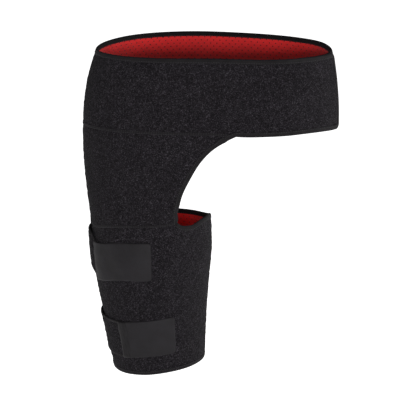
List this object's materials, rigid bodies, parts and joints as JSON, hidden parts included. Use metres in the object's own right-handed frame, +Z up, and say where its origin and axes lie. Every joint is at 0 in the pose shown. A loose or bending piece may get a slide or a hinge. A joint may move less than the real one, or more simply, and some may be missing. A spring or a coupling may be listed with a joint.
{
  "type": "thigh strap",
  "caption": "Soft hip and thigh strap: a waist belt, a panel over the right hip and a thigh wrap with hook straps, shown as worn.",
  "frame": {"origin": "middle of the waist belt's ring, at half the belt's height", "axes": "+X to the wearer's left, +Y to the wearer's back, +Z up"},
  "size_m": [0.3609, 0.2188, 0.4757],
  "materials": {
    "loop_pile": "matte brushed loop pile on foam",
    "red_knit": "matte perforated foam knit",
    "tape": "folded elastic binding tape",
    "hook_tab": "smooth backing of a moulded hook strip"
  },
  "bodies": {
    "root": {"waist_belt": "loop_pile", "waist_lining": "red_knit", "waist_hook_tab": "hook_tab", "hip_panel": "loop_pile", "hip_lining": "red_knit", "thigh_wrap": "loop_pile", "thigh_lining": "red_knit", "waist_top_binding": "tape", "front_edge_binding": "tape", "thigh_top_binding": "tape", "hem_binding": "tape", "back_edge_binding": "tape", "waist_seam_tape": "tape", "thigh_seam_tape": "tape", "upper_strap": "loop_pile", "upper_hook_tab": "hook_tab", "lower_strap": "loop_pile", "lower_hook_tab": "hook_tab"}
  },
  "joints": []
}
